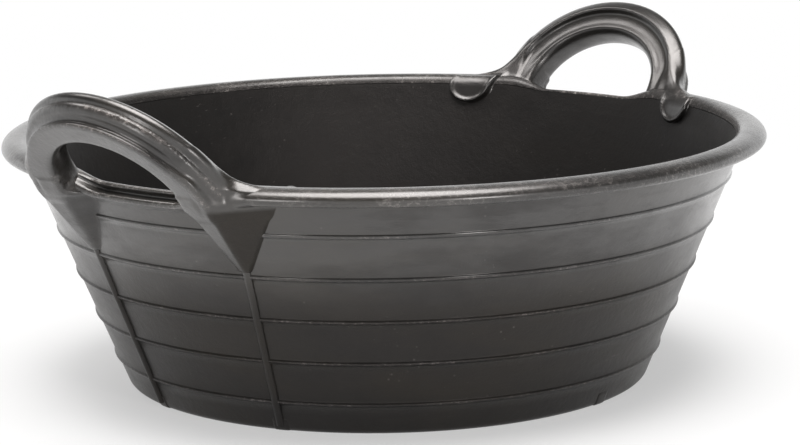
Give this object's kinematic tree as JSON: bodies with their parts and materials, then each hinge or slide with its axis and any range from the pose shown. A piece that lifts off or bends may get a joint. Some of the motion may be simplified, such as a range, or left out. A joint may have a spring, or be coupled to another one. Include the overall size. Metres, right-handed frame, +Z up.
{
  "type": "rubber feed tub",
  "caption": "Round tapered tub of black rubber for livestock feed or water, with stepped rings on the wall, a rolled rim and flexing hoop handles on opposite sides.",
  "frame": {"origin": "centre of the flat underside of the floor, on the surface that the tub stands on", "axes": "+Z up along the tub's axis; the handles stand on the X axis, the left one on -X and the right one on +X"},
  "size_m": [0.5374, 0.4648, 0.2042],
  "materials": {
    "wall_rubber": "satin moulded black rubber",
    "rim_rubber": "satin black rubber, scuffed on the crest",
    "strap_rubber": "glossier black rubber, scuffed on the ridges"
  },
  "bodies": {
    "tub": {"tub_floor": "wall_rubber", "left_wall": "wall_rubber", "right_wall": "wall_rubber", "front_rim": "rim_rubber", "back_rim": "rim_rubber", "left_sill": "rim_rubber", "right_sill": "rim_rubber", "left_front_root": "strap_rubber", "left_front_tongue": "strap_rubber", "left_front_rib": "wall_rubber", "left_front_foot": "wall_rubber", "left_back_root": "strap_rubber", "left_back_tongue": "strap_rubber", "left_back_rib": "wall_rubber", "left_back_foot": "wall_rubber", "right_front_root": "strap_rubber", "right_front_tongue": "strap_rubber", "right_front_rib": "wall_rubber", "right_front_foot": "wall_rubber", "right_back_root": "strap_rubber", "right_back_tongue": "strap_rubber", "right_back_rib": "wall_rubber", "right_back_foot": "wall_rubber", "front_foot": "wall_rubber", "back_foot": "wall_rubber"},
    "left_handle": {"left_handle": "strap_rubber"},
    "right_handle": {"right_handle": "strap_rubber"}
  },
  "joints": [
    {"name": "left_handle_flex", "type": "hinge", "parent": "tub", "child": "left_handle", "pos_m": [-0.222, 0, 0.147], "axis": [0, -1, 0], "range_deg": [-43, 27], "stiffness_Nm_per_rad": 6},
    {"name": "right_handle_flex", "type": "hinge", "parent": "tub", "child": "right_handle", "pos_m": [0.222, 0, 0.147], "axis": [0, 1, 0], "range_deg": [-43, 27], "stiffness_Nm_per_rad": 6}
  ]
}
